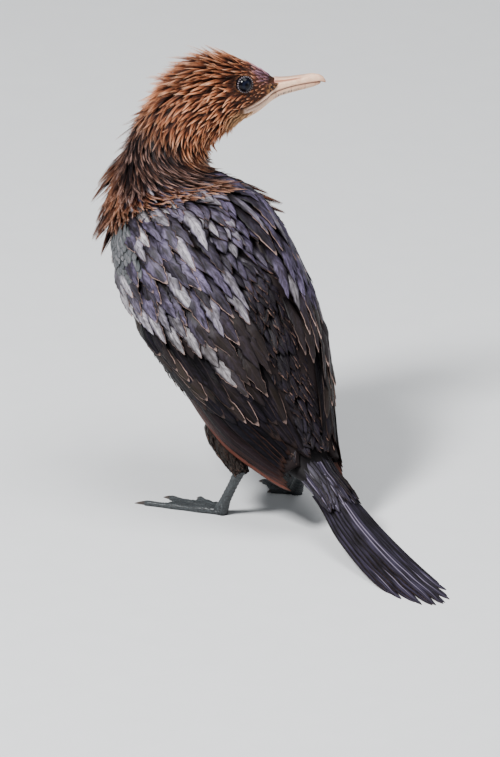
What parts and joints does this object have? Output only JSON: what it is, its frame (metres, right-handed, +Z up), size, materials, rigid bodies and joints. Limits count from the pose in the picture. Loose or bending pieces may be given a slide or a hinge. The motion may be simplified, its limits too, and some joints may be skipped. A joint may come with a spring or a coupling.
{
  "type": "pygmy cormorant",
  "caption": "Life-size still model of a small brown-headed cormorant, standing upright with folded wings, its head turned over one shoulder and its tail on the floor.",
  "frame": {"origin": "on the floor, under the middle of the model's box", "axes": "+Z up, the bird's trunk faces -Y and its tail lies towards +Y, +X is the bird's left side"},
  "size_m": [0.155, 0.3508, 0.2838],
  "materials": {
    "plumage_dark": "oily brown-black body and tail feathers with pale edges",
    "plumage_wing": "purple-grey wing feathers with a silver bloom and dark tips",
    "plumage_rufous": "wet, bristly rufous-brown feathers",
    "horn": "pinkish horn of the bill, browner along the ridge",
    "eye": "wet, nearly black eye",
    "foot_skin": "black-grey scaly skin and webs"
  },
  "bodies": {
    "root": {"torso": "plumage_dark", "thigh_left": "plumage_dark", "thigh_right": "plumage_dark", "tail": "plumage_dark", "wing_left": "plumage_wing", "wing_right": "plumage_wing", "neck": "plumage_rufous", "head": "plumage_rufous", "bill_upper": "horn", "bill_lower": "horn", "eye_left": "eye", "eye_right": "eye", "foot_left": "foot_skin", "foot_right": "foot_skin"}
  },
  "joints": []
}
